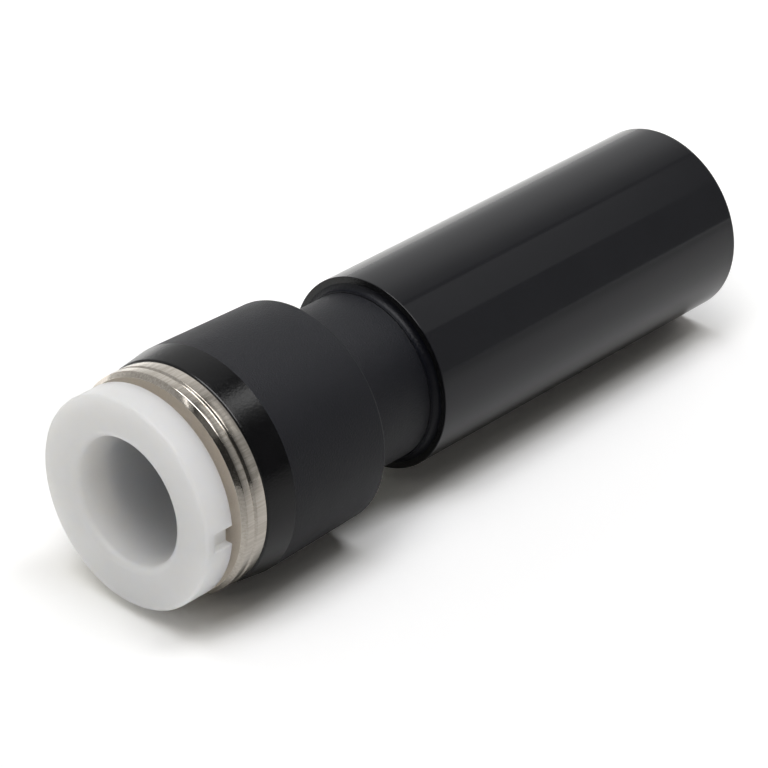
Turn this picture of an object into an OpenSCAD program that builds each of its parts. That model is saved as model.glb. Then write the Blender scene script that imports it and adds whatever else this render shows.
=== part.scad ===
// Plug-in reducer for pneumatic tubing: a plain stem that plugs into a larger
// fitting, and a push-in socket with a release ring for a smaller tube.
// It stands on the end of its stem, with +Z along the axis towards the ring.
// Radii are stacked from the tube outwards, and heights from the stem upwards.

/* [Tube] */
// Outer diameter of the tube that the socket takes
tube_d = 7.94; // [7.4:0.02:8.6]
// Radial gap between the tube and the bore of the release ring
entry_gap = 0.13; // [0.06:0.01:0.3]
// Radial gap between the tube and its seat in the neck
seat_gap = 0.06; // [0.03:0.01:0.12]

/* [Stem] */
// Diameter of the plug-in stem
stem_d = 12.7; // [12:0.1:14]
// Length of the stem, from its end to the ledge
stem_len = 28.4; // [18:0.2:40]
// Wall of the stem round its bore
stem_wall = 1.85; // [1.2:0.05:2.4]
// Rounding of the outer edge at the end of the stem
stem_round = 0.1; // [0.05:0.05:0.6]
// Chamfer at the mouth of the stem's bore
stem_mouth = 0.4; // [0.1:0.05:0.6]

/* [Neck] */
// Length of the neck, from the ledge to the shoulder of the body
neck_len = 6.3; // [5:0.1:12]
// Radial step from the stem in to the neck
ledge_step = 0.87; // [0.6:0.01:1.1]
// Fillet between the neck and the ledge
ledge_round = 0.45; // [0.1:0.05:0.55]
// Fillet between the neck and the shoulder
shoulder_round = 0.3; // [0.1:0.05:0.5]
// Length of the tube seat, from the chamber down to the stop
seat_len = 4.83; // [3:0.1:6]
// Radial width of the tube stop
stop_ledge = 0.92; // [0.6:0.02:1.2]
// Length of the narrow passage under the tube stop
passage_len = 1.2; // [0.6:0.1:2]
// Lead-in at the mouth of the tube seat
seat_lead = 0.4; // [0.1:0.05:0.6]

/* [Body] */
// Length of the body, from its shoulder to its mouth
body_len = 10; // [9.6:0.1:14]
// Wall of the body round the chamber, at the shoulder
body_wall = 0.92; // [0.7:0.02:1.4]
// Radial growth of the body from the shoulder to the crest
crest_rise = 0.21; // [0:0.01:0.5]
// Radial drop of the smooth band from the crest to the mouth
band_drop = 0.26; // [0.1:0.01:0.4]
// Length of the smooth band behind the mouth
band_len = 2.05; // [1:0.05:3]
// Rounding of the edge at the shoulder
tail_round = 0.2; // [0.05:0.05:0.4]
// Rounding of the edge at the mouth
mouth_round = 0.15; // [0.05:0.01:0.2]
// Thickness of the chamber's floor over the shoulder
floor_t = 1.15; // [0.8:0.05:1.4]

/* [Guide ring] */
// Length of the head that shows in front of the body
head_len = 1.85; // [1.4:0.05:2.6]
// Radial step from the mouth of the body down to the head
head_step = 0.07; // [0.02:0.01:0.2]
// Chamfer at the front of the head
head_chamfer = 0.28; // [0.1:0.02:0.4]
// Distance from the front of the head to the middle of its groove
groove_place = 0.94; // [0.7:0.02:1.1]
// Width of the groove in the head
groove_w = 0.26; // [0.14:0.02:0.36]
// Length of the tail that is pressed into the body
tail_len = 3.5; // [3.4:0.05:3.9]
// Wall of the tail round its counterbore
tail_wall = 0.75; // [0.6:0.05:1]
// Length of the lip that guides and keeps the release ring
lip_len = 2.8; // [2.4:0.05:3]
// Height of the barbs that bite into the body
barb_h = 0.14; // [0.05:0.01:0.2]
// Length of the slope of each barb
barb_len = 0.4; // [0.2:0.05:0.5]
// Distance from the mouth of the body to the first barb
barb_place = 0.6; // [0.4:0.05:0.8]
// Distance from barb to barb
barb_pitch = 0.8; // [0.6:0.05:1]
// Number of barbs
barbs = 3; // [1:1:3]

/* [Release ring] */
// Travel of the release ring when it is pushed in
push = 0.7; // [0.4:0.05:1]
// Thickness of the flange that is pushed
flange_t = 2.07; // [1.6:0.05:2.8]
// Radial step from the head of the guide ring down to the flange
flange_step = 0.27; // [0:0.01:0.5]
// Rounding of the front edge of the flange
flange_round = 0.3; // [0.1:0.05:0.5]
// Rounding of the mouth of the ring's bore
entry_round = 0.35; // [0.1:0.05:0.5]
// Wall of the sleeve behind the flange
sleeve_wall = 0.82; // [0.6:0.02:1]
// Running gap between the sleeve and the lip of the guide ring
slide_gap = 0.08; // [0.04:0.01:0.15]
// Height of the snap ridge that keeps the ring in
snap_h = 0.35; // [0.2:0.05:0.5]
// Length of the snap ridge
snap_len = 1.2; // [0.8:0.1:1.4]
// Length of the flat top of the snap ridge
snap_land = 0.48; // [0.2:0.02:0.6]
// Play between the snap ridge and the lip
snap_play = 0.06; // [0.03:0.01:0.1]
// Radial gap between the snap ridge and the counterbore
snap_gap = 0.2; // [0.1:0.02:0.3]
// Wall that is left at the tip of the nose
nose_wall = 0.42; // [0.3:0.02:0.5]
// Length of the cone at the nose
nose_len = 0.8; // [0.5:0.1:1]
// Gap between the nose and the teeth of the claw at rest
nose_gap = 0.35; // [0.1:0.05:0.45]
// Number of slits that let the sleeve spring
slits = 4; // [2:1:6]
// Width of each slit
slit_w = 0.8; // [0.5:0.05:1]
// Distance that the slits run in under the lip
slit_reach = 0.3; // [0.2:0.1:1.5]
// Turn of the first slit from the side opposite the notch
slit_turn = 0; // [0:5:90]
// Width of the moulding notch in the flange
notch_w = 1.2; // [0.8:0.1:2]
// Depth of the notch from the rim
notch_depth = 0.55; // [0.3:0.05:0.8]
// Length of the notch from the back of the flange
notch_len = 1.45; // [0.6:0.05:1.5]
// Rounding of the corners at the floor of the notch
notch_round = 0.2; // [0.05:0.05:0.3]

/* [Lock claw] */
// Thickness of the spring sheet
claw_t = 0.25; // [0.15:0.01:0.3]
// Number of teeth
teeth = 12; // [8:1:16]
// Width of the slot between two teeth
tooth_slot = 0.6; // [0.4:0.05:0.8]
// Slope of the teeth from the flat rim
tooth_angle = 45; // [40:1:50]
// Depth that the tips of the teeth bite into the tube
bite = 0.12; // [0.05:0.01:0.2]
// Radial play between the rim and the chamber
rim_play = 0.05; // [0.02:0.01:0.1]

/* [Seal] */
// Radial play between the seal and the chamber
seal_play = 0.08; // [0.04:0.01:0.12]
// Height of the ridges round the seal above its outside
ridge_h = 0.06; // [0.02:0.01:0.06]
// Distance from the back of the seal to its back ridge
ridge_place = 0.7; // [0.3:0.1:1.2]
// Depth that each lip squeezes into the tube
lip_squeeze = 0.09; // [0.04:0.01:0.15]
// Depth of the recess that gives the teeth room
tooth_room = 2.3; // [2.2:0.1:2.6]
// Radial depth of the groove between the lips
lip_groove = 0.7; // [0.4:0.05:0.9]
// Place of the front lip, as a share of the way from the recess to the back
front_lip = 0.25; // [0.2:0.05:0.35]
// Place of the back lip, as a share of the way from the recess to the back
back_lip = 0.8; // [0.7:0.05:0.85]

/* [Hidden] */
$fn = 96;
// Radial clearance of the pressed tail in its seat
press_gap = 0.02;
// Rounding of small moulded edges
small_round = 0.1;
// Room round the bend of the claw inside the seal
bend_room = 0.05;
// Extra length of a cutter past the face that it opens
past = 1;

tube_r = tube_d / 2;
entry_r = tube_r + entry_gap;
sleeve_r = entry_r + sleeve_wall;
lip_r = sleeve_r + slide_gap;
snap_r = lip_r + snap_h;
counter_r = snap_r + snap_gap;
tail_r = counter_r + tail_wall;
chamber_r = tail_r;
shoulder_r = chamber_r + body_wall;
crest_r = shoulder_r + crest_rise;
mouth_r = crest_r - band_drop;
head_r = mouth_r - head_step;
flange_r = head_r - flange_step;
seat_r = tube_r + seat_gap;
passage_r = tube_r - stop_ledge;
stem_r = stem_d / 2;
neck_r = stem_r - ledge_step;
stem_bore_r = stem_r - stem_wall;

shoulder_z = stem_len + neck_len;
floor_z = shoulder_z + floor_t;
stop_z = floor_z - seat_len;
passage_z = stop_z - passage_len;
mouth_z = shoulder_z + body_len;
head_z = mouth_z + head_len;
flange_z = head_z + push;
face_z = flange_z + flange_t;
tail_z = mouth_z - tail_len;
lip_z = head_z - lip_len;
snap_z = lip_z - snap_play;
claw_z = tail_z;
seal_z = claw_z - claw_t;

tip_r = tube_r - bite;
nose_r = entry_r + nose_wall;
nose_z = claw_z - (counter_r - nose_r) * tan(tooth_angle) + nose_gap;
tooth_drop = (counter_r - tip_r) * tan(tooth_angle);
tooth_t = claw_t / cos(tooth_angle);
bend_r = counter_r + (tooth_t - claw_t) / tan(tooth_angle);
recess_r = bend_r + bend_room;
squeeze_r = tube_r - lip_squeeze;
seal_r = chamber_r - seal_play;

// Outlines: each point is [x, y] or [x, y, rounding], listed anticlockwise.
// In a turned outline x is the radius and y the height. Rounded corners are arcs.
function unit(v) = v / norm(v);
function spot(p) = [p[0], p[1]];
function rounding(p) = len(p) > 2 ? p[2] : 0;
function before(points, i) = spot(points[(i + len(points) - 1) % len(points)]);
function after(points, i) = spot(points[(i + 1) % len(points)]);
function side(a, b, c) = (b[0] - a[0]) * (c[1] - b[1]) - (b[1] - a[1]) * (c[0] - b[0]);
function half_angle(a, b, c) = acos(unit(a - b) * unit(c - b)) / 2;
function setback(a, b, c, r) = r / tan(half_angle(a, b, c));
function corner(a, b, c, r) =
    r == 0 ? [b] : [b + unit(a - b) * setback(a, b, c, r), b + unit(c - b) * setback(a, b, c, r)];
function arc_centre(a, b, c, r) =
    b + unit(unit(a - b) + unit(c - b)) * r / sin(half_angle(a, b, c));

// Discs at the rounded corners that turn one way: 1 for outer, -1 for inner
module corner_discs(points, way) {
    for (i = [0:len(points) - 1]) {
        a = before(points, i);
        b = spot(points[i]);
        c = after(points, i);
        r = rounding(points[i]);
        if (r > 0 && way * side(a, b, c) > 0)
            translate(arc_centre(a, b, c, r))
                circle(r = r);
    }
}

module outline(points) {
    difference() {
        union() {
            polygon([for (i = [0:len(points) - 1])
                each corner(before(points, i), spot(points[i]), after(points, i), rounding(points[i]))]);
            corner_discs(points, 1);
        }
        corner_discs(points, -1);
    }
}

module turned(points) {
    rotate_extrude()
        outline(points);
}

// Barbs along the tail: steep towards the mouth, sloping towards the chamber
function barb_z(i) = mouth_z - barb_place - barb_pitch * i;
function barb_points(swell) = [
    for (i = [barbs - 1:-1:0])
        each [
            [tail_r + swell, barb_z(i) - barb_len],
            [tail_r + barb_h + swell, barb_z(i)],
            [tail_r + swell, barb_z(i)]
        ]
];

// One resin moulding: stem, ledge, neck and socket, hollow from end to end
module body() {
    color([0.13, 0.13, 0.14])
        turned(concat(
            [
                [stem_bore_r + stem_mouth, 0],
                [stem_r, 0, stem_round],
                [stem_r, stem_len],
                [neck_r, stem_len, ledge_round],
                [neck_r, shoulder_z, shoulder_round],
                [shoulder_r, shoulder_z, tail_round],
                [crest_r, mouth_z - band_len],
                [mouth_r, mouth_z, mouth_round],
                [tail_r + press_gap, mouth_z]
            ],
            [for (i = [len(barb_points(0)) - 1:-1:0]) barb_points(press_gap)[i]],
            [
                [tail_r + press_gap, tail_z],
                [chamber_r, tail_z],
                [chamber_r, floor_z, small_round],
                [seat_r + seat_lead, floor_z],
                [seat_r, floor_z - seat_lead],
                [seat_r, stop_z],
                [passage_r, stop_z],
                [passage_r, passage_z],
                [stem_bore_r, passage_z - (stem_bore_r - passage_r)],
                [stem_bore_r, stem_mouth]
            ]
        ));
}

// Plated ring: the head shows, the tail is pressed in, the lip keeps the sleeve
module guide_ring() {
    color([0.74, 0.71, 0.66])
        turned(concat(
            [
                [counter_r, tail_z],
                [tail_r, tail_z]
            ],
            barb_points(0),
            [
                [tail_r, mouth_z],
                [head_r, mouth_z],
                [head_r, head_z - groove_place - groove_w / 2],
                [head_r - groove_w / 2, head_z - groove_place],
                [head_r, head_z - groove_place + groove_w / 2],
                [head_r, head_z - head_chamfer],
                [head_r - head_chamfer, head_z],
                [lip_r + small_round, head_z],
                [lip_r, head_z - small_round],
                [lip_r, lip_z],
                [counter_r, lip_z]
            ]
        ));
}

// Notch in the rim of the flange, open at the back, with rounded floor corners
module notch() {
    floor_at = flange_r - notch_depth;
    translate([0, 0, flange_z - past])
        linear_extrude(notch_len + past)
            outline([
                [-flange_r - past, -notch_w / 2],
                [-floor_at, -notch_w / 2, notch_round],
                [-floor_at, notch_w / 2, notch_round],
                [-flange_r - past, notch_w / 2]
            ]);
}

// White ring: flange to push, sleeve with slits, snap ridge and a nose
module release_ring() {
    slit_z = lip_z + slit_reach;
    color([0.86, 0.87, 0.88])
        difference() {
            turned([
                [entry_r, nose_z],
                [nose_r, nose_z],
                [sleeve_r, nose_z + nose_len],
                [sleeve_r, snap_z - snap_len],
                [snap_r, snap_z - snap_land],
                [snap_r, snap_z],
                [sleeve_r, snap_z],
                [sleeve_r, flange_z, small_round],
                [flange_r, flange_z, small_round],
                [flange_r, face_z, flange_round],
                [entry_r, face_z, entry_round]
            ]);
            for (i = [0:slits - 1])
                rotate(slit_turn + i * 360 / slits)
                    translate([tube_r - past, -slit_w / 2, nose_z - past])
                        cube([snap_r - tube_r + 2 * past, slit_w, slit_z - nose_z + past]);
            notch();
        }
}

// Spring ring: flat rim under the guide ring, teeth bent down towards the stop
module lock_claw() {
    rim_r = chamber_r - rim_play;
    slot_z = claw_z - tooth_drop - tooth_t - past;
    slot_h = claw_z + past - slot_z;
    color([0.8, 0.81, 0.83])
        difference() {
            turned([
                [tip_r, claw_z - tooth_drop],
                [tip_r, claw_z - tooth_drop - tooth_t],
                [bend_r, seal_z],
                [rim_r, seal_z],
                [rim_r, claw_z],
                [counter_r, claw_z]
            ]);
            for (i = [0:teeth - 1])
                rotate(i * 360 / teeth) {
                    translate([0, -tooth_slot / 2, slot_z])
                        cube([counter_r, tooth_slot, slot_h]);
                    translate([counter_r, 0, slot_z])
                        cylinder(h = slot_h, r = tooth_slot / 2);
                }
        }
}

// Ridge round the seal, from a level up
function ridge_points(z) = [
    [seal_r, z],
    [seal_r + ridge_h, z + ridge_h],
    [seal_r, z + 2 * ridge_h]
];

// Rubber seal: its front rim backs the claw, and two lips close on the tube
module tube_seal() {
    groove_r = squeeze_r + lip_groove;
    recess_z = seal_z - tooth_room;
    lip_span = recess_z - floor_z;
    mid_groove = (front_lip + back_lip) / 2;
    color([0.07, 0.07, 0.07])
        turned(concat(
            [
                [groove_r, floor_z],
                [seal_r, floor_z, small_round]
            ],
            ridge_points(floor_z + ridge_place),
            ridge_points(recess_z),
            [
                [seal_r, seal_z],
                [recess_r, seal_z],
                [recess_r, recess_z, small_round],
                [squeeze_r, recess_z - lip_span * front_lip, small_round],
                [groove_r, recess_z - lip_span * mid_groove, small_round],
                [squeeze_r, recess_z - lip_span * back_lip, small_round]
            ]
        ));
}

body();
guide_ring();
release_ring();
lock_claw();
tube_seal();
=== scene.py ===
"""Looks for a push-in tube reducer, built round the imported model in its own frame.

The part stands on the end of its stem, with +Z along the axis towards the release ring.
In the picture it lies on its side, so the table is a plane along the axis, on the +Y side.
Sizes are in millimetres until a piece is finished, and in metres after that.
"""
import logging
import math
from dataclasses import dataclass
from enum import Enum
from typing import Callable, Sequence

import bpy
from mathutils import Matrix, Vector


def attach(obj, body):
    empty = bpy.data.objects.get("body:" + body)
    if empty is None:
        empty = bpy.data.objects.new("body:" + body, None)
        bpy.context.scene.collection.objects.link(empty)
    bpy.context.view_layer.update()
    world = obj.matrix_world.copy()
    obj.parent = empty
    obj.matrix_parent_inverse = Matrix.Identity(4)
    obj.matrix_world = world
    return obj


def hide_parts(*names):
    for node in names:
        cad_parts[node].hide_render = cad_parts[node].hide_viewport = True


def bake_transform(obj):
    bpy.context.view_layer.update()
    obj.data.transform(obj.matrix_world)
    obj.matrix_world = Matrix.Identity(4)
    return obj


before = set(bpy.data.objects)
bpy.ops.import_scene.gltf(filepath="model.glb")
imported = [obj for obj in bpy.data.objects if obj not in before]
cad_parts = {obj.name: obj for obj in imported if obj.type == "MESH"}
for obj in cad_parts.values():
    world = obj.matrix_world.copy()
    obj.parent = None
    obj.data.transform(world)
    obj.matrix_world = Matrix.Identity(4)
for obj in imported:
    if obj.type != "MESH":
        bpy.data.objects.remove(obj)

LOG = logging.getLogger("reducer")

METRES = 0.001
# Segments of a turned piece round the axis
AROUND = 288
# Points closer than this are one point, in millimetres
MERGE = 1e-4
# Edges that bend more than this are sharp, in degrees
SHARP = 35.0
# How far a cutter reaches past what it cuts
PAST = 1.0


class Carrier(Enum):
    """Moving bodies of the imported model."""

    HOUSING = "housing"
    RELEASE = "release"


@dataclass(frozen=True)
class Corner:
    """One corner of a turned outline: radius and height in millimetres, and its rounding."""

    radius: float
    height: float
    rounding: float = 0.0

    def at(self) -> Vector:
        """The corner as a point of the half plane through the axis."""
        return Vector((self.radius, 0.0, self.height))


@dataclass(frozen=True)
class Fade:
    """A smooth step: the result goes from start to end as the input goes from low to high."""

    low: float
    high: float
    start: float = 0.0
    end: float = 1.0


@dataclass(frozen=True)
class Levels:
    """Heights on the axis that pieces share, in millimetres."""

    ledge: float = 28.4
    shoulder: float = 34.7
    floor: float = 35.85
    tail: float = 41.2
    top_barb: float = 44.1
    mouth: float = 44.7
    head: float = 46.55
    flange: float = 47.25
    face: float = 49.32


LEVELS = Levels()


class Bench:
    """Modelling steps that every piece uses, done with the mesh operators."""

    @staticmethod
    def clear() -> None:
        """Goes to object mode with nothing selected."""
        if bpy.context.mode != "OBJECT":
            bpy.ops.object.mode_set(mode="OBJECT")
        bpy.ops.object.select_all(action="DESELECT")

    @staticmethod
    def only(obj: bpy.types.Object) -> None:
        """Makes one object the selected and active one.

        Args:
            obj: the object.
        """
        Bench.clear()
        obj.select_set(True)
        bpy.context.view_layer.objects.active = obj

    @staticmethod
    def pick(obj: bpy.types.Object, chosen: Callable[[Vector], bool]) -> None:
        """Selects vertices of an object by their place.

        Args:
            obj: the object, in object mode.
            chosen: test of a vertex's place.
        """
        for part in (*obj.data.polygons, *obj.data.edges):
            part.select = False
        for vertex in obj.data.vertices:
            vertex.select = chosen(vertex.co)

    @staticmethod
    def setback(corners: Sequence[Corner], index: int) -> float:
        """Works out where the rounding of a corner starts.

        Args:
            corners: the outline, in order.
            index: which corner.

        Returns:
            The distance from the corner to the start of its rounding.
        """
        here = corners[index].at()
        back = (corners[index - 1].at() - here).normalized()
        ahead = (corners[(index + 1) % len(corners)].at() - here).normalized()
        return corners[index].rounding / math.tan(back.angle(ahead) / 2)

    @staticmethod
    def turn(name: str, corners: Sequence[Corner], arc: int = 6) -> bpy.types.Object:
        """Turns a closed outline round the axis.

        Args:
            name: name of the new object.
            corners: the outline, in order.
            arc: segments of each rounding.

        Returns:
            The turned piece, in millimetres.
        """
        Bench.clear()
        bpy.ops.mesh.primitive_plane_add(size=1.0)
        obj = bpy.context.object
        obj.name = name
        bpy.ops.object.mode_set(mode="EDIT")
        bpy.ops.mesh.select_mode(type="VERT")
        bpy.ops.mesh.select_all(action="SELECT")
        bpy.ops.mesh.merge(type="CENTER")
        bpy.ops.transform.translate(value=corners[0].at())
        for last, corner in zip(corners, corners[1:]):
            step = corner.at() - last.at()
            bpy.ops.mesh.extrude_region_move(TRANSFORM_OT_translate={"value": step})
        bpy.ops.object.mode_set(mode="OBJECT")
        ends = (corners[0].at(), corners[-1].at())
        Bench.pick(obj, lambda co: min((co - end).length for end in ends) < MERGE)
        bpy.ops.object.mode_set(mode="EDIT")
        bpy.ops.mesh.edge_face_add()
        bpy.ops.object.mode_set(mode="OBJECT")
        for index, corner in enumerate(corners):
            if corner.rounding > 0:
                Bench.pick(obj, lambda co, c=corner: (co - c.at()).length < MERGE)
                bpy.ops.object.mode_set(mode="EDIT")
                bpy.ops.mesh.bevel(
                    offset=Bench.setback(corners, index), offset_type="OFFSET",
                    segments=arc, affect="VERTICES",
                )
                bpy.ops.object.mode_set(mode="OBJECT")
        bpy.ops.object.mode_set(mode="EDIT")
        bpy.ops.mesh.select_all(action="SELECT")
        bpy.ops.mesh.spin(
            steps=AROUND, angle=math.tau, center=(0, 0, 0), axis=(0, 0, 1), use_auto_merge=True
        )
        bpy.ops.mesh.select_all(action="SELECT")
        bpy.ops.mesh.remove_doubles(threshold=MERGE)
        bpy.ops.mesh.normals_make_consistent(inside=False)
        bpy.ops.object.mode_set(mode="OBJECT")
        return obj

    @staticmethod
    def box(low: Sequence[float], high: Sequence[float], turn: float) -> bpy.types.Object:
        """Makes a block for cutting.

        Args:
            low: its lowest corner.
            high: its highest corner.
            turn: angle round the axis, in degrees.

        Returns:
            The block.
        """
        Bench.clear()
        middle = (Vector(low) + Vector(high)) / 2
        spin = Matrix.Rotation(math.radians(turn), 3, "Z")
        bpy.ops.mesh.primitive_cube_add(
            size=1.0, location=spin @ middle, rotation=(0, 0, math.radians(turn)),
            scale=Vector(high) - Vector(low),
        )
        return bpy.context.object

    @staticmethod
    def carve(obj: bpy.types.Object, cutters: Sequence[bpy.types.Object]) -> None:
        """Cuts several cutters out of an object and removes them.

        Args:
            obj: the object.
            cutters: the cutters, joined here into one.
        """
        Bench.clear()
        for cutter in cutters:
            cutter.select_set(True)
        bpy.context.view_layer.objects.active = cutters[0]
        bpy.ops.object.join()
        tool = bpy.context.view_layer.objects.active
        Bench.only(obj)
        bpy.ops.object.modifier_add(type="BOOLEAN")
        cut = obj.modifiers[-1]
        cut.operation = "DIFFERENCE"
        cut.solver = "EXACT"
        cut.use_self = True
        cut.object = tool
        bpy.ops.object.modifier_apply(modifier=cut.name)
        bpy.data.objects.remove(tool)

    @staticmethod
    def ease(obj: bpy.types.Object, width: float, segments: int) -> None:
        """Rounds every sharp edge of an object.

        Args:
            obj: the object, in millimetres.
            width: width of the rounding.
            segments: segments of the rounding.
        """
        Bench.only(obj)
        bpy.ops.object.mode_set(mode="EDIT")
        bpy.ops.mesh.select_mode(type="EDGE")
        bpy.ops.mesh.select_all(action="DESELECT")
        bpy.ops.mesh.edges_select_sharp(sharpness=math.radians(SHARP))
        bpy.ops.mesh.bevel(
            offset=width, offset_type="OFFSET", segments=segments, affect="EDGES",
            clamp_overlap=False, miter_outer="ARC",
        )
        bpy.ops.mesh.select_all(action="SELECT")
        bpy.ops.mesh.remove_doubles(threshold=MERGE)
        bpy.ops.object.mode_set(mode="OBJECT")

    @staticmethod
    def finish(obj: bpy.types.Object, angle: float = SHARP) -> None:
        """Brings a piece to metres and gives it smooth faces with true flats.

        Args:
            obj: the piece, in millimetres.
            angle: faces that meet at more than this many degrees stay sharp.
        """
        Bench.only(obj)
        obj.scale = (METRES, METRES, METRES)
        bpy.ops.object.transform_apply(location=True, rotation=True, scale=True)
        bpy.ops.object.shade_smooth_by_angle(angle=math.radians(angle))
        bpy.ops.object.modifier_add(type="WEIGHTED_NORMAL")
        weights = obj.modifiers[-1]
        weights.keep_sharp = True
        bpy.ops.object.modifier_apply(modifier=weights.name)
        Bench.clear()


class Graph:
    """Short calls for building a node tree."""

    def __init__(self, tree: bpy.types.NodeTree) -> None:
        """Starts on a tree, which is emptied."""
        self.tree = tree
        tree.nodes.clear()

    def add(self, kind: str, **settings: object) -> bpy.types.Node:
        """Adds a node.

        Args:
            kind: the node's type, without the ShaderNode prefix.
            **settings: properties of the node.

        Returns:
            The node.
        """
        node = self.tree.nodes.new("ShaderNode" + kind)
        for key, value in settings.items():
            setattr(node, key, value)
        return node

    def put(self, socket: bpy.types.NodeSocket, value: object) -> None:
        """Links a socket to a value's output, or sets it.

        Args:
            socket: an input.
            value: another node's output, or a constant.
        """
        if isinstance(value, bpy.types.NodeSocket):
            self.tree.links.new(value, socket)
        else:
            socket.default_value = value

    def feed(self, node: bpy.types.Node, **values: object) -> bpy.types.Node:
        """Sets or links inputs of a node by name.

        Args:
            node: the node.
            **values: what goes in, by the input's name with _ for a space.

        Returns:
            The node.
        """
        for key, value in values.items():
            self.put(node.inputs[key.replace("_", " ")], value)
        return node

    def math(self, operation: str, *values: object) -> bpy.types.NodeSocket:
        """Adds a math node.

        Args:
            operation: what it does.
            *values: its inputs in order.

        Returns:
            Its result.
        """
        node = self.add("Math", operation=operation)
        for socket, value in zip(node.inputs, values):
            self.put(socket, value)
        return node.outputs[0]

    def chain(self, operation: str, *values: object) -> bpy.types.NodeSocket:
        """Applies one operation from value to value.

        Args:
            operation: what each math node does.
            *values: the values in order.

        Returns:
            The last result.
        """
        result = values[0]
        for value in values[1:]:
            result = self.math(operation, result, value)
        return result

    def total(self, *values: object) -> bpy.types.NodeSocket:
        """The sum of values."""
        return self.chain("ADD", *values)

    def product(self, *values: object) -> bpy.types.NodeSocket:
        """The product of values."""
        return self.chain("MULTIPLY", *values)

    def ramp(self, value: object, fade: Fade) -> bpy.types.NodeSocket:
        """Adds a smooth step.

        Args:
            value: its input.
            fade: its shape.

        Returns:
            Its result.
        """
        node = self.add("MapRange", interpolation_type="SMOOTHSTEP")
        settings = (value, fade.low, fade.high, fade.start, fade.end)
        for socket, setting in zip(node.inputs, settings):
            self.put(socket, setting)
        return node.outputs[0]

    def vector(self, operation: str, *values: object, **named: object) -> bpy.types.Node:
        """Adds a vector math node.

        Args:
            operation: what it does.
            *values: its vectors in order.
            **named: other inputs by name.

        Returns:
            The node.
        """
        node = self.add("VectorMath", operation=operation)
        for socket, value in zip(node.inputs, values):
            self.put(socket, value)
        return self.feed(node, **named)

    def dot(self, vector: bpy.types.NodeSocket, along: Sequence[float]) -> bpy.types.NodeSocket:
        """The part of a vector along a fixed direction."""
        return self.vector("DOT_PRODUCT", vector, tuple(along)).outputs["Value"]

    def grey(self, level: bpy.types.NodeSocket) -> bpy.types.NodeSocket:
        """A colour with the same level in red, green and blue."""
        return self.feed(self.add("CombineXYZ"), X=level, Y=level, Z=level).outputs[0]

    def noise(
        self, place: bpy.types.NodeSocket, scale: object, detail: float, roughness: float
    ) -> bpy.types.NodeSocket:
        """Adds a noise of 0 to 1.

        Args:
            place: coordinates in metres.
            scale: grains to a metre.
            detail: number of finer layers.
            roughness: weight of the finer layers.

        Returns:
            The noise.
        """
        node = self.add("TexNoise")
        self.feed(node, Vector=place, Scale=scale, Detail=detail, Roughness=roughness)
        return node.outputs["Fac"]

    def uneven(
        self, middle: object, swing: object, mask: bpy.types.NodeSocket
    ) -> bpy.types.NodeSocket:
        """Moves a value up and down with a mask.

        Args:
            middle: the value where the mask is 0.5.
            swing: how far it moves where the mask is 0 or 1.
            mask: a mask of 0 to 1.

        Returns:
            The moved value.
        """
        centred = self.math("SUBTRACT", mask, 0.5)
        return self.total(middle, self.product(centred, swing, 2.0))


class Effects:
    """Shader groups that more than one finish uses, each built once."""

    groups: dict[str, bpy.types.NodeTree] = {}
    # Stains to a metre
    stain_grain: float = 700.0
    # Width of a streak as a share of its length
    streak_share: float = 0.06

    @classmethod
    def start(
        cls, name: str, inputs: dict[str, float], outputs: Sequence[str]
    ) -> tuple[Graph, bpy.types.Node, bpy.types.Node]:
        """Starts a shader node group.

        Args:
            name: the group's name.
            inputs: names and first values of its inputs.
            outputs: names of its outputs.

        Returns:
            The group's graph, its input node and its output node.
        """
        tree = bpy.data.node_groups.new(name, "ShaderNodeTree")
        for key, value in inputs.items():
            socket = tree.interface.new_socket(key, in_out="INPUT", socket_type="NodeSocketFloat")
            socket.default_value = value
        for key in outputs:
            tree.interface.new_socket(key, in_out="OUTPUT", socket_type="NodeSocketFloat")
        cls.groups[name] = tree
        graph = Graph(tree)
        return graph, tree.nodes.new("NodeGroupInput"), tree.nodes.new("NodeGroupOutput")

    @classmethod
    def skin(cls) -> bpy.types.NodeTree:
        """Builds the fine grain of a moulded surface, with slow smudges in its gloss.

        Returns:
            The group.
        """
        name = "moulded_skin"
        if name not in cls.groups:
            graph, enter, leave = cls.start(
                name, {"Grain": 12000.0, "Smudge": 500.0, "Gloss": 0.3, "Smear": 0.05},
                ("Height", "Roughness", "Mottle"),
            )
            place = graph.add("TexCoord").outputs["Object"]
            fine = graph.noise(place, enter.outputs["Grain"], detail=3.0, roughness=0.6)
            slow = graph.noise(place, enter.outputs["Smudge"], detail=4.0, roughness=0.55)
            rough = graph.uneven(enter.outputs["Gloss"], enter.outputs["Smear"], slow)
            graph.feed(leave, Height=fine, Roughness=rough, Mottle=slow)
        return cls.groups[name]

    @classmethod
    def streaks(cls) -> bpy.types.NodeTree:
        """Builds fine streaks along the axis of the part, with slow stains in their gloss.

        Returns:
            The group. Its mottle is the streaks themselves.
        """
        name = "fine_streaks"
        if name not in cls.groups:
            graph, enter, leave = cls.start(
                name, {"Grain": 9000.0, "Gloss": 0.2, "Smear": 0.08},
                ("Height", "Roughness", "Mottle"),
            )
            place = graph.add("TexCoord").outputs["Object"]
            long = graph.vector("MULTIPLY", place, (1.0, 1.0, cls.streak_share)).outputs[0]
            lines = graph.noise(long, enter.outputs["Grain"], detail=2.0, roughness=0.7)
            stain = graph.noise(place, cls.stain_grain, detail=3.0, roughness=0.5)
            rough = graph.uneven(enter.outputs["Gloss"], enter.outputs["Smear"], stain)
            graph.feed(leave, Height=lines, Roughness=rough, Mottle=lines)
        return cls.groups[name]


class Texture(Enum):
    """The two kinds of fine surface in the part."""

    MOULDED = "moulded"
    STREAKED = "streaked"


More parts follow.
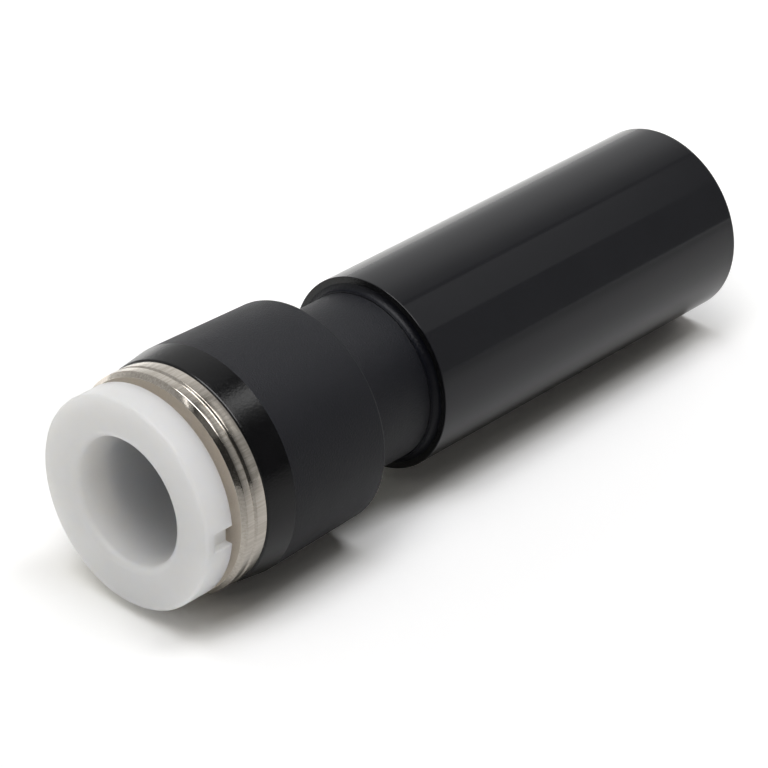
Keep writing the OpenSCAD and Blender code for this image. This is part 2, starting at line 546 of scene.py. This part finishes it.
@dataclass(frozen=True)
class Finish:
    """A material of the part.

    Its colour wanders between color and shade, and its gloss by smear. The grain and the
    smudge are numbers of grains to a metre, and depth is the height of the relief in metres.
    Milky is the share of the light that goes through the skin, as deep as milk_depth.
    """

    name: str
    color: tuple[float, float, float]
    shade: tuple[float, float, float]
    gloss: float
    smear: float
    grain: float
    depth: float
    texture: Texture = Texture.MOULDED
    smudge: float = 500.0
    metallic: float = 0.0
    specular: float = 0.5
    milky: float = 0.0
    milk_depth: float = 0.0008
    milk_spread: tuple[float, float, float] = (1.0, 0.95, 0.85)
    wander: Fade = Fade(0.3, 0.7)

    def build(self) -> bpy.types.Material:
        """Makes the material.

        Returns:
            A material with procedural colour, gloss and relief.
        """
        material = bpy.data.materials.new(self.name)
        material.use_nodes = True
        graph = Graph(material.node_tree)
        effect = graph.add("Group")
        if self.texture is Texture.MOULDED:
            effect.node_tree = Effects.skin()
            graph.feed(effect, Smudge=self.smudge)
        else:
            effect.node_tree = Effects.streaks()
        graph.feed(effect, Grain=self.grain, Gloss=self.gloss, Smear=self.smear)
        tint = graph.add("Mix", data_type="RGBA")
        graph.put(tint.inputs["Factor"], graph.ramp(effect.outputs["Mottle"], self.wander))
        graph.put(tint.inputs["A"], (*self.color, 1.0))
        graph.put(tint.inputs["B"], (*self.shade, 1.0))
        bump = graph.add("Bump")
        graph.feed(bump, Strength=1.0, Distance=self.depth, Height=effect.outputs["Height"])
        shader = graph.add("BsdfPrincipled")
        graph.feed(
            shader, Base_Color=tint.outputs["Result"], Roughness=effect.outputs["Roughness"],
            Normal=bump.outputs["Normal"], Metallic=self.metallic,
            Specular_IOR_Level=self.specular, Subsurface_Weight=self.milky,
            Subsurface_Scale=self.milk_depth, Subsurface_Radius=self.milk_spread,
        )
        graph.feed(graph.add("OutputMaterial"), Surface=shader.outputs[0])
        return material


RESIN_MATT = Finish(
    name="resin_matt", color=(0.0020, 0.0024, 0.0054), shade=(0.0030, 0.0034, 0.0066),
    gloss=0.52, smear=0.07, grain=8500.0, depth=4e-5, smudge=400.0,
)
RESIN_LEDGE = Finish(
    name="resin_ledge", color=(0.0020, 0.0024, 0.0054), shade=(0.0030, 0.0034, 0.0066),
    gloss=0.42, smear=0.07, grain=7000.0, depth=3e-5, smudge=400.0, specular=0.27,
)
RESIN_POLISHED = Finish(
    name="resin_polished", color=(0.0052, 0.0053, 0.0058), shade=(0.0066, 0.0066, 0.0072),
    gloss=0.15, smear=0.05, grain=7000.0, depth=1.1e-5, smudge=600.0,
)
RESIN_STEM = Finish(
    name="resin_stem", color=(0.0052, 0.0055, 0.0078), shade=(0.0066, 0.0069, 0.0094),
    gloss=0.09, smear=0.03, grain=2500.0, depth=4e-7, smudge=300.0,
)
NICKEL = Finish(
    name="nickel_plate", color=(0.68, 0.625, 0.545), shade=(0.86, 0.80, 0.72),
    gloss=0.13, smear=0.08, grain=6500.0, depth=3e-6, texture=Texture.STREAKED, metallic=1.0,
)
NICKEL_SATIN = Finish(
    name="nickel_satin", color=(0.64, 0.575, 0.50), shade=(0.59, 0.53, 0.46),
    gloss=0.45, smear=0.06, grain=9000.0, depth=3e-6, texture=Texture.STREAKED, metallic=0.3,
)
ACETAL = Finish(
    name="acetal_white", color=(0.86, 0.86, 0.86), shade=(0.835, 0.835, 0.835),
    gloss=0.34, smear=0.06, grain=5000.0, depth=2e-6, smudge=300.0,
    milky=1.0, milk_depth=0.0042,
)
SPRING_STEEL = Finish(
    name="spring_steel", color=(0.55, 0.54, 0.52), shade=(0.48, 0.47, 0.45),
    gloss=0.28, smear=0.08, grain=14000.0, depth=4e-6, texture=Texture.STREAKED, metallic=1.0,
)
RUBBER = Finish(
    name="seal_rubber", color=(0.012, 0.012, 0.012), shade=(0.018, 0.018, 0.018),
    gloss=0.6, smear=0.06, grain=11000.0, depth=7e-6, smudge=500.0,
)


def dress(piece: bpy.types.Object, finishes: Sequence[Finish]) -> None:
    """Gives a piece its finishes.

    Args:
        piece: the finished piece.
        finishes: one finish for each material slot.
    """
    piece.data.materials.clear()
    for finish in finishes:
        piece.data.materials.append(finish.build())


def stand_in(node: str) -> None:
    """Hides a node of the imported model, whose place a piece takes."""
    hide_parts(node)


@dataclass(frozen=True)
class Barbs:
    """Barbs that hold the tail of the guide ring in the body."""

    height: float = 0.14
    pitch: float = 0.8
    slope: float = 0.4
    count: int = 3
    top: float = LEVELS.top_barb

    def corners(self, radius: float) -> list[Corner]:
        """Draws the barbs on a tail, from the lowest up.

        Args:
            radius: radius of the tail.

        Returns:
            The corners in order.
        """
        corners = []
        for i in reversed(range(self.count)):
            level = self.top - self.pitch * i
            corners += [
                Corner(radius, level - self.slope),
                Corner(radius + self.height, level),
                Corner(radius, level),
            ]
        return corners


class Zone(Enum):
    """Zones of the moulding that differ in finish. The value is the material slot."""

    MATT = 0
    POLISHED = 1
    STEM = 2
    LEDGE = 3


@dataclass
class Housing:
    """The resin moulding: stem, ledge, neck and socket body."""

    stem_r: float = 6.35
    stem_edge: float = 0.1
    bore_r: float = 4.5
    bore_chamfer: float = 0.4
    ledge_z: float = LEVELS.ledge
    ledge_fillet: float = 0.45
    ledge_step: float = 0.07
    step_edge: float = 0.03
    crease: float = 0.05
    crease_edge: float = 0.02
    neck_r: float = 5.48
    neck_fillet: float = 0.3
    shoulder_z: float = LEVELS.shoulder
    shoulder_r: float = 7.22
    shoulder_edge: float = 0.2
    crest: Corner = Corner(7.43, 42.65, 0.12)
    mouth: Corner = Corner(7.17, LEVELS.mouth, 0.15)
    press_r: float = 6.32
    barbs: Barbs = Barbs()
    tail_z: float = LEVELS.tail
    chamber_r: float = 6.30
    floor_z: float = LEVELS.floor
    seat_r: float = 4.03
    seat_chamfer: float = 0.4
    stop_z: float = 31.02
    stop_edge: float = 0.08
    passage_r: float = 3.05
    passage_z: float = 29.82
    edge: float = 0.05
    soft_edge: float = 0.1
    zone_margin: float = 0.02

    def outline(self) -> list[Corner]:
        """Draws the outline, from the stem's end up the outside and down the inside.

        Returns:
            The corners in order.
        """
        step_r = self.neck_r + self.ledge_step
        crease_r = self.neck_r - self.crease
        fillet_z = self.ledge_z + self.ledge_fillet
        return [
            Corner(self.bore_r + self.bore_chamfer, 0.0, self.edge),
            Corner(self.stem_r, 0.0, self.stem_edge),
            Corner(self.stem_r, self.ledge_z, self.edge),
            Corner(step_r, self.ledge_z, self.ledge_fillet - self.ledge_step),
            Corner(step_r, fillet_z, self.step_edge),
            Corner(crease_r, fillet_z, self.crease_edge),
            Corner(crease_r, fillet_z + self.crease),
            Corner(self.neck_r, fillet_z + 2 * self.crease, self.crease_edge),
            Corner(self.neck_r, self.shoulder_z, self.neck_fillet),
            Corner(self.shoulder_r, self.shoulder_z, self.shoulder_edge),
            self.crest,
            self.mouth,
            Corner(self.press_r, self.mouth.height, self.edge),
            *reversed(self.barbs.corners(self.press_r)),
            Corner(self.press_r, self.tail_z),
            Corner(self.chamber_r, self.tail_z),
            Corner(self.chamber_r, self.floor_z, self.soft_edge),
            Corner(self.seat_r + self.seat_chamfer, self.floor_z, self.edge),
            Corner(self.seat_r, self.floor_z - self.seat_chamfer, self.soft_edge),
            Corner(self.seat_r, self.stop_z, self.stop_edge),
            Corner(self.passage_r, self.stop_z, self.stop_edge),
            Corner(self.passage_r, self.passage_z, self.soft_edge),
            Corner(self.bore_r, self.passage_z - (self.bore_r - self.passage_r), self.soft_edge),
            Corner(self.bore_r, self.bore_chamfer, self.edge),
        ]

    def zone_at(self, middle: Vector) -> Zone:
        """Finds the zone of a face.

        Args:
            middle: middle of the face, in metres.

        Returns:
            Its zone.
        """
        radius = math.hypot(middle.x, middle.y) / METRES
        height = middle.z / METRES
        if height > self.crest.height:
            return Zone.POLISHED
        if height > self.ledge_z + self.ledge_fillet or radius < self.neck_r - self.crease:
            return Zone.MATT
        if radius > self.stem_r - self.zone_margin:
            return Zone.STEM
        return Zone.LEDGE if radius < self.neck_r + self.ledge_fillet else Zone.POLISHED

    def build(self) -> bpy.types.Object:
        """Makes and dresses the moulding.

        Returns:
            The finished piece.
        """
        body = Bench.turn("resin_body", self.outline(), arc=8)
        Bench.finish(body)
        dress(body, (RESIN_MATT, RESIN_POLISHED, RESIN_STEM, RESIN_LEDGE))
        for face in body.data.polygons:
            face.material_index = self.zone_at(face.center).value
        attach(body, Carrier.HOUSING.value)
        stand_in("body")
        return body


@dataclass
class GuideRing:
    """The plated ring: its head shows, its tail is pressed into the body."""

    head_r: float = 7.10
    mouth_z: float = LEVELS.mouth
    head_z: float = LEVELS.head
    chamfer: float = 0.28
    chamfer_edge: float = 0.06
    groove_z: float = 45.61
    groove: float = 0.13
    groove_edge: float = 0.03
    head_edge: float = 0.04
    tail_r: float = 6.30
    tail_z: float = LEVELS.tail
    tail_edge: float = 0.1
    barbs: Barbs = Barbs()
    counter_r: float = 5.55
    lip_r: float = 5.0
    lip_z: float = 43.75
    lip_chamfer: float = 0.1
    lip_edge: float = 0.02
    edge: float = 0.05
    zone_margin: float = 0.005

    def outline(self) -> list[Corner]:
        """Draws the outline, from the tail up the outside and down the inside.

        Returns:
            The corners in order.
        """
        return [
            Corner(self.counter_r, self.tail_z, self.edge),
            Corner(self.tail_r, self.tail_z, self.tail_edge),
            *self.barbs.corners(self.tail_r),
            Corner(self.tail_r, self.mouth_z),
            Corner(self.head_r, self.mouth_z, self.head_edge),
            Corner(self.head_r, self.groove_z - self.groove, self.groove_edge),
            Corner(self.head_r - self.groove, self.groove_z, self.head_edge),
            Corner(self.head_r, self.groove_z + self.groove, self.groove_edge),
            Corner(self.head_r, self.head_z - self.chamfer, self.chamfer_edge),
            Corner(self.head_r - self.chamfer, self.head_z, self.edge),
            Corner(self.lip_r + self.lip_chamfer, self.head_z, self.lip_edge),
            Corner(self.lip_r, self.head_z - self.lip_chamfer, self.lip_edge),
            Corner(self.lip_r, self.lip_z, self.edge),
            Corner(self.counter_r, self.lip_z),
        ]

    def build(self) -> bpy.types.Object:
        """Makes and dresses the ring. The flat end of its head is satin.

        Returns:
            The finished piece.
        """
        ring = Bench.turn("plated_guide_ring", self.outline(), arc=4)
        Bench.finish(ring, angle=50.0)
        dress(ring, (NICKEL, NICKEL_SATIN))
        flat_z = (self.head_z - self.zone_margin) * METRES
        for face in ring.data.polygons:
            face.material_index = int(face.center.z > flat_z)
        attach(ring, Carrier.HOUSING.value)
        stand_in("guide_ring")
        return ring


@dataclass
class ReleaseRing:
    """The white ring: flange, sleeve with slits, snap ridge and nose."""

    bore_r: float = 4.10
    nose_z: float = 40.52
    nose_r: float = 4.52
    nose_len: float = 0.8
    sleeve_r: float = 4.92
    sleeve_edge: float = 0.1
    snap_r: float = 5.35
    snap_z: float = 43.69
    snap_flat: float = 0.48
    snap_len: float = 1.2
    flange_r: float = 6.83
    flange_z: float = LEVELS.flange
    flange_edge: float = 0.22
    face_z: float = LEVELS.face
    mouth_edge: float = 0.5
    slits: int = 4
    slit_w: float = 0.8
    slit_z: float = 44.05
    notch_w: float = 1.2
    notch_depth: float = 0.55
    notch_len: float = 1.45
    notch_turn: float = 180.0
    edge: float = 0.06

    def outline(self) -> list[Corner]:
        """Draws the outline, from the nose up the outside and down the bore.

        Returns:
            The corners in order.
        """
        return [
            Corner(self.bore_r, self.nose_z),
            Corner(self.nose_r, self.nose_z),
            Corner(self.sleeve_r, self.nose_z + self.nose_len, self.sleeve_edge),
            Corner(self.sleeve_r, self.snap_z - self.snap_len, self.sleeve_edge),
            Corner(self.snap_r, self.snap_z - self.snap_flat, self.sleeve_edge),
            Corner(self.snap_r, self.snap_z),
            Corner(self.sleeve_r, self.snap_z),
            Corner(self.sleeve_r, self.flange_z, self.sleeve_edge),
            Corner(self.flange_r, self.flange_z),
            Corner(self.flange_r, self.face_z, self.flange_edge),
            Corner(self.bore_r, self.face_z, self.mouth_edge),
        ]

    def cutters(self) -> list[bpy.types.Object]:
        """Makes the blocks that cut the slits and the notch.

        Returns:
            The blocks.
        """
        slits = [
            Bench.box(
                (self.bore_r - PAST, -self.slit_w / 2, self.nose_z - PAST),
                (self.snap_r + PAST, self.slit_w / 2, self.slit_z),
                i * 360 / self.slits,
            )
            for i in range(self.slits)
        ]
        notch = Bench.box(
            (self.flange_r - self.notch_depth, -self.notch_w / 2, self.flange_z - PAST),
            (self.flange_r + PAST, self.notch_w / 2, self.flange_z + self.notch_len),
            self.notch_turn,
        )
        return [*slits, notch]

    def build(self) -> bpy.types.Object:
        """Makes and dresses the ring.

        Returns:
            The finished piece.
        """
        ring = Bench.turn("white_release_ring", self.outline(), arc=8)
        Bench.carve(ring, self.cutters())
        Bench.ease(ring, self.edge, segments=3)
        Bench.finish(ring)
        dress(ring, (ACETAL,))
        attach(ring, Carrier.RELEASE.value)
        stand_in("release_ring")
        return ring


@dataclass
class LockClaw:
    """The spring ring whose bent teeth bite the tube."""

    rim_r: float = 6.25
    rim_z: float = LEVELS.tail
    sheet: float = 0.25
    bend_r: float = 5.55
    tip_r: float = 3.85
    teeth: int = 12
    slot: float = 0.6
    slot_inner_r: float = 2.0
    slot_under: float = 4.0
    slot_fit: float = 0.999
    slot_short: float = 0.01
    steps: int = 6

    @property
    def drop(self) -> float:
        """How far the tip of a tooth lies under the rim. A tooth slopes by 45 degrees."""
        return self.bend_r - self.tip_r

    @property
    def upright(self) -> float:
        """Thickness of a sloping tooth, measured along the axis."""
        return math.sqrt(2.0) * self.sheet

    def side(self, tip_z: float, root_r: float, root_z: float) -> list[Corner]:
        """Points along one side of a tooth.

        Args:
            tip_z: height of the tip.
            root_r: radius of the root.
            root_z: height of the root.

        Returns:
            The corners from tip to root.
        """
        return [
            Corner(
                self.tip_r + (root_r - self.tip_r) * i / self.steps,
                tip_z + (root_z - tip_z) * i / self.steps,
            )
            for i in range(self.steps + 1)
        ]

    def outline(self) -> list[Corner]:
        """Draws the outline of rim and tooth.

        Returns:
            The corners, out along the back of the tooth and in along its front.
        """
        tip_z = self.rim_z - self.drop
        back_z = self.rim_z - self.sheet
        back_r = self.bend_r + (self.upright - self.sheet)
        return [
            *self.side(tip_z - self.upright, back_r, back_z),
            Corner(self.rim_r, back_z),
            Corner(self.rim_r, self.rim_z),
            *reversed(self.side(tip_z, self.bend_r, self.rim_z)),
        ]

    def cutters(self) -> list[bpy.types.Object]:
        """Makes the cutters of the slots between the teeth, each with a round end.

        The cylinders are a hair smaller than the blocks, so that no faces of theirs coincide.

        Returns:
            A block and a cylinder for each slot.
        """
        low = self.rim_z - self.slot_under
        high = self.rim_z + PAST
        half = self.slot / 2
        tools = []
        for i in range(self.teeth):
            angle = i * 360 / self.teeth
            tools.append(Bench.box((self.slot_inner_r, -half, low), (self.bend_r, half, high), angle))
            Bench.clear()
            bpy.ops.mesh.primitive_cylinder_add(
                vertices=32, radius=half * self.slot_fit, depth=high - low - self.slot_short,
                location=(
                    self.bend_r * math.cos(math.radians(angle)),
                    self.bend_r * math.sin(math.radians(angle)),
                    (low + high) / 2,
                ),
            )
            tools.append(bpy.context.object)
        return tools

    def build(self) -> bpy.types.Object:
        """Makes and dresses the claw.

        Returns:
            The finished piece.
        """
        claw = Bench.turn("spring_claw", self.outline())
        Bench.carve(claw, self.cutters())
        Bench.finish(claw, angle=30.0)
        dress(claw, (SPRING_STEEL,))
        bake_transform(claw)
        stand_in("lock_claw")
        return claw


@dataclass
class TubeSeal:
    """The rubber seal with two lips and two ridges round its outside."""

    floor_z: float = LEVELS.floor
    top_z: float = LEVELS.tail - LockClaw.sheet
    outer_r: float = 6.22
    outer_edge: float = 0.1
    recess_r: float = 5.704
    recess_z: float = 38.65
    lip_r: float = 3.88
    lip_edge: float = 0.12
    groove_r: float = 4.58
    groove_edge: float = 0.15
    front_lip: float = 0.25
    groove_at: float = 0.525
    back_lip: float = 0.8
    ridge: float = 0.06
    ridge_up: float = 0.7
    ridge_foot: float = 0.02
    ridge_top: float = 0.03
    edge: float = 0.05

    def ridge_at(self, level: float) -> list[Corner]:
        """Draws a ridge round the outside.

        Args:
            level: where the ridge starts.

        Returns:
            The corners, going up.
        """
        return [
            Corner(self.outer_r, level, self.ridge_foot),
            Corner(self.outer_r + self.ridge, level + self.ridge, self.ridge_top),
            Corner(self.outer_r, level + 2 * self.ridge, self.ridge_foot),
        ]

    def outline(self) -> list[Corner]:
        """Draws the outline, from the back up the outside and down over the lips.

        Returns:
            The corners in order.
        """
        span = self.recess_z - self.floor_z
        return [
            Corner(self.groove_r, self.floor_z, self.edge),
            Corner(self.outer_r, self.floor_z, self.outer_edge),
            *self.ridge_at(self.floor_z + self.ridge_up),
            *self.ridge_at(self.recess_z),
            Corner(self.outer_r, self.top_z, self.edge),
            Corner(self.recess_r, self.top_z, self.edge),
            Corner(self.recess_r, self.recess_z, self.groove_edge),
            Corner(self.lip_r, self.recess_z - span * self.front_lip, self.lip_edge),
            Corner(self.groove_r, self.recess_z - span * self.groove_at, self.groove_edge),
            Corner(self.lip_r, self.recess_z - span * self.back_lip, self.lip_edge),
        ]

    def build(self) -> bpy.types.Object:
        """Makes and dresses the seal.

        Returns:
            The finished piece.
        """
        seal = Bench.turn("rubber_seal", self.outline(), arc=5)
        Bench.finish(seal)
        dress(seal, (RUBBER,))
        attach(seal, Carrier.HOUSING.value)
        stand_in("tube_seal")
        return seal


@dataclass(frozen=True)
class Panel:
    """A bright field of the studio, as the part's gloss sees it.

    Turn is the angle round the part's axis, in degrees up from the far side; along is the
    share of the direction that runs with the axis. The field fades over the soft widths.
    """

    turn: tuple[float, float]
    along: tuple[float, float]
    level: float
    soft_turn: float = 5.0
    soft_along: float = 0.04


@dataclass(frozen=True)
class Glow:
    """A soft light of the studio: the way to it, its level, its width in degrees and its tint."""

    way: tuple[float, float, float]
    level: float
    spread: float = 15.0
    tint: tuple[float, float, float] = (1.0, 1.0, 1.0)
    core: float = 0.5


@dataclass
class Studio:
    """Table, light and camera of the picture."""

    # Table: its plane, its level for the camera, and its image in the gloss
    up: tuple[float, float, float] = (0.0, -0.99968, 0.02540)
    table_at: float = -0.006344
    table_size: float = 3.0
    table_seen: float = 1.2
    table_shine: float = 0.79
    table_across: tuple[float, float, float] = (0.67, 0.0, -0.742)
    table_middle: float = 0.025
    table_slope: float = 8.3
    table_reach: tuple[float, float] = (-0.04, 0.05)
    table_fade: float = 0.15
    table_least: float = 0.6

    # Sky in the gloss: its level, and how it changes round the part and along it
    sky_level: float = 0.33
    sky_far: Fade = Fade(88.0, 45.0, 0.0, 0.29)
    sky_low: Fade = Fade(22.0, 0.0, 0.0, 0.22)
    sky_edge: Fade = Fade(86.5, 83.5)
    sky_stem: Fade = Fade(-0.62, -0.45, 1.0, 0.76)
    sky_face: Fade = Fade(-0.2, 0.4, 1.0, 0.72)
    sky_least: Fade = Fade(-0.62, -0.45, 0.25, 0.02)
    horizon: Fade = Fade(-0.005, 0.005)
    ground_level: float = 0.4

    # Main lamp
    lamp_way: tuple[float, float, float] = (-0.242, -0.946, -0.218)
    lamp_distance: float = 0.3
    lamp_level: float = 0.762
    lamp_angle: float = 21.0
    lamp_color: tuple[float, float, float] = (0.995, 0.997, 1.0)

    # Camera
    camera_at: tuple[float, float, float] = (-0.131262, -0.114416, 0.172523)
    camera_right: tuple[float, float, float] = (-0.73556, -0.01721, -0.67724)
    camera_up: tuple[float, float, float] = (0.35547, -0.86081, -0.36421)
    lens: float = 171.88
    sensor: float = 36.0
    clip: tuple[float, float] = (0.01, 10.0)

    panels: tuple[Panel, ...] = (
        Panel(turn=(99.0, 116.0), along=(-0.52, -0.30), level=2.1),
        Panel(turn=(99.0, 128.0), along=(-0.52, -0.30), level=0.3),
        Panel(turn=(89.0, 130.5), along=(-0.72, -0.58), level=0.45, soft_turn=1.0),
        Panel(turn=(130.5, 182.0), along=(-0.72, -0.58), level=0.27, soft_turn=1.0),
        Panel(turn=(69.0, 122.0), along=(-0.2, 0.5), level=4.5, soft_along=0.06),
        Panel(turn=(72.5, 77.5), along=(0.58, 0.76), level=1.6, soft_turn=1.0),
        Panel(turn=(90.0, 122.0), along=(0.58, 0.85), level=0.12, soft_turn=4.0),
    )
    glows: tuple[Glow, ...] = (
        Glow(way=(0.0, -1.0, 0.03), level=0.56, tint=(0.96, 0.98, 1.06)),
        Glow(way=(0.0, -0.93, 0.37), level=0.53),
        Glow(way=(0.32, -0.94, 0.07), level=0.17),
        Glow(way=(-0.18, -0.85, 0.49), level=0.47, spread=28.0, tint=(1.04, 1.0, 0.92)),
        Glow(way=(0.91, -0.41, 0.01), level=0.56, spread=24.0, tint=(1.04, 1.04, 0.92)),
        Glow(way=(0.21, -0.40, -0.89), level=0.75, spread=28.0, tint=(1.04, 1.0, 0.96)),
        Glow(way=(-0.90, -0.18, 0.39), level=0.31, spread=20.0, tint=(1.04, 1.0, 0.92)),
    )

    def table_level(self, graph: Graph) -> bpy.types.NodeSocket:
        """Works out the brightness of the table for each kind of ray.

        The gloss sees it brighter towards the far side and the stem's end, and darker towards
        the near side.

        Args:
            graph: graph of the table's material.

        Returns:
            The level.
        """
        path = graph.add("LightPath")
        seen = path.outputs["Is Camera Ray"]
        shiny = path.outputs["Is Glossy Ray"]
        rest = graph.math("SUBTRACT", graph.math("SUBTRACT", 1.0, seen), shiny)
        place = graph.add("TexCoord").outputs["Object"]
        middle = self.table_across[2] * self.table_middle
        away = graph.math("SUBTRACT", graph.dot(place, self.table_across), middle)
        away = graph.math("MAXIMUM", away, self.table_reach[0])
        away = graph.math("MINIMUM", away, self.table_reach[1])
        shine = graph.total(self.table_shine, graph.product(away, self.table_slope))
        side = graph.math("MINIMUM", graph.dot(place, (1, 0, 0)), 0.0)
        fade = graph.math("EXPONENT", graph.math("DIVIDE", side, self.table_fade))
        shine = graph.product(shine, graph.math("MAXIMUM", fade, self.table_least))
        return graph.total(
            graph.product(seen, self.table_seen), graph.product(shiny, shine), rest
        )

    def table(self) -> None:
        """Makes the pale table, which is seen only from its front."""
        Bench.clear()
        normal = Vector(self.up).normalized()
        turn = normal.to_track_quat("Z", "Y").to_euler()
        bpy.ops.mesh.primitive_plane_add(
            size=self.table_size, location=normal * self.table_at, rotation=turn
        )
        table = bpy.context.object
        table.name = "table"
        bpy.ops.object.transform_apply(location=True, rotation=True, scale=True)
        table.visible_shadow = False
        table.visible_transmission = False
        material = bpy.data.materials.new("table_white")
        material.use_nodes = True
        graph = Graph(material.node_tree)
        face = graph.feed(graph.add("BsdfDiffuse"), Color=graph.grey(self.table_level(graph)))
        clear = graph.add("BsdfTransparent")
        mix = graph.add("MixShader")
        behind = graph.add("NewGeometry").outputs["Backfacing"]
        for socket, value in zip(mix.inputs, (behind, face.outputs[0], clear.outputs[0])):
            graph.put(socket, value)
        graph.feed(graph.add("OutputMaterial"), Surface=mix.outputs[0])
        table.data.materials.append(material)

    def gloss(self, graph: Graph, way: bpy.types.NodeSocket) -> bpy.types.NodeSocket:
        """Works out the studio as the part's gloss sees it.

        Args:
            graph: graph of the world.
            way: direction of the ray.

        Returns:
            Its brightness that way.
        """
        rise = graph.dot(way, self.up)
        side = graph.dot(way, (1, 0, 0))
        along = graph.dot(way, (0, 0, 1))
        turn = graph.math("DEGREES", graph.math("ARCTAN2", rise, side))
        sky = graph.total(
            self.sky_level, graph.ramp(turn, self.sky_far), graph.ramp(turn, self.sky_low)
        )
        sky = graph.product(
            sky, graph.ramp(turn, self.sky_edge), graph.ramp(along, self.sky_stem),
            graph.ramp(along, self.sky_face),
        )
        sky = graph.math("MAXIMUM", sky, graph.ramp(along, self.sky_least))
        for panel in self.panels:
            (t0, t1), (a0, a1) = panel.turn, panel.along
            st, sa = panel.soft_turn, panel.soft_along
            mask = graph.product(
                graph.ramp(turn, Fade(t0 - st, t0 + st)), graph.ramp(turn, Fade(t1 + st, t1 - st)),
                graph.ramp(along, Fade(a0 - sa, a0 + sa)), graph.ramp(along, Fade(a1 + sa, a1 - sa)),
            )
            sky = graph.math("MAXIMUM", sky, graph.product(mask, panel.level))
        above = graph.ramp(rise, self.horizon)
        below = graph.math("SUBTRACT", 1.0, above)
        return graph.total(graph.product(sky, above), graph.product(below, self.ground_level))

    def light(self, graph: Graph, way: bpy.types.NodeSocket) -> bpy.types.NodeSocket:
        """Works out the light of all the soft lights.

        Each gives its level on a surface that faces it, whatever its width.

        Args:
            graph: graph of the world.
            way: direction of the ray.

        Returns:
            Its colour and brightness that way.
        """
        total = (0.0, 0.0, 0.0)
        for glow in self.glows:
            edge = math.cos(math.radians(glow.spread))
            core = math.cos(math.radians(glow.spread * glow.core))
            field = math.tau * ((1 - core) + (core - edge) / 2)
            mask = graph.ramp(graph.dot(way, Vector(glow.way).normalized()), Fade(edge, core))
            color = [glow.level * share / field for share in glow.tint]
            part = graph.vector("SCALE", color, Scale=mask).outputs[0]
            total = graph.vector("ADD", total, part).outputs[0]
        return total

    def world(self) -> None:
        """Makes the world: white for the camera, soft lights, and a studio for the gloss."""
        world = bpy.data.worlds.new("studio")
        bpy.context.scene.world = world
        world.use_nodes = True
        graph = Graph(world.node_tree)
        way = graph.add("TexCoord").outputs["Generated"]
        path = graph.add("LightPath")
        shiny = path.outputs["Is Glossy Ray"]
        plain = graph.math(
            "MAXIMUM", path.outputs["Is Camera Ray"], path.outputs["Is Transmission Ray"]
        )
        rest = graph.math("SUBTRACT", graph.math("SUBTRACT", 1.0, shiny), plain)
        even = graph.grey(graph.total(graph.product(shiny, self.gloss(graph, way)), plain))
        soft = graph.vector("SCALE", self.light(graph, way), Scale=rest).outputs[0]
        both = graph.vector("ADD", even, soft).outputs[0]
        ground = graph.feed(graph.add("Background"), Color=both)
        graph.feed(graph.add("OutputWorld"), Surface=ground.outputs[0])

    def lamp(self) -> None:
        """Makes the main lamp over the table."""
        Bench.clear()
        bpy.ops.object.light_add(type="SUN", location=Vector(self.lamp_way) * self.lamp_distance)
        lamp = bpy.context.object
        lamp.name = "soft_lamp"
        lamp.visible_glossy = False
        lamp.rotation_mode = "QUATERNION"
        lamp.rotation_quaternion = Vector(self.lamp_way).to_track_quat("Z", "Y")
        lamp.data.energy = self.lamp_level
        lamp.data.angle = math.radians(self.lamp_angle)
        lamp.data.color = self.lamp_color

    def camera(self) -> None:
        """Makes the camera at the photograph's viewing angle."""
        data = bpy.data.cameras.new("camera")
        data.lens = self.lens
        data.sensor_width = self.sensor
        data.clip_start, data.clip_end = self.clip
        camera = bpy.data.objects.new("camera", data)
        bpy.context.scene.collection.objects.link(camera)
        right = Vector(self.camera_right).normalized()
        up = (Vector(self.camera_up) - right * right.dot(Vector(self.camera_up))).normalized()
        back = right.cross(up)
        turned = Matrix((right, up, back)).transposed().to_4x4()
        camera.matrix_world = Matrix.Translation(self.camera_at) @ turned
        bpy.context.scene.camera = camera

    def build(self) -> None:
        """Sets up the whole studio."""
        self.table()
        self.world()
        self.lamp()
        self.camera()
        bpy.context.scene.view_settings.view_transform = "Standard"


def main() -> None:
    """Builds the pieces in order and reports each one."""
    logging.basicConfig(level=logging.INFO, format="%(name)s: %(message)s")
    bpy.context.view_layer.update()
    for maker in (Housing(), GuideRing(), ReleaseRing(), LockClaw(), TubeSeal()):
        piece = maker.build()
        LOG.info("%s: %d faces", piece.name, len(piece.data.polygons))
    Studio().build()


if __name__ == "__main__":
    main()
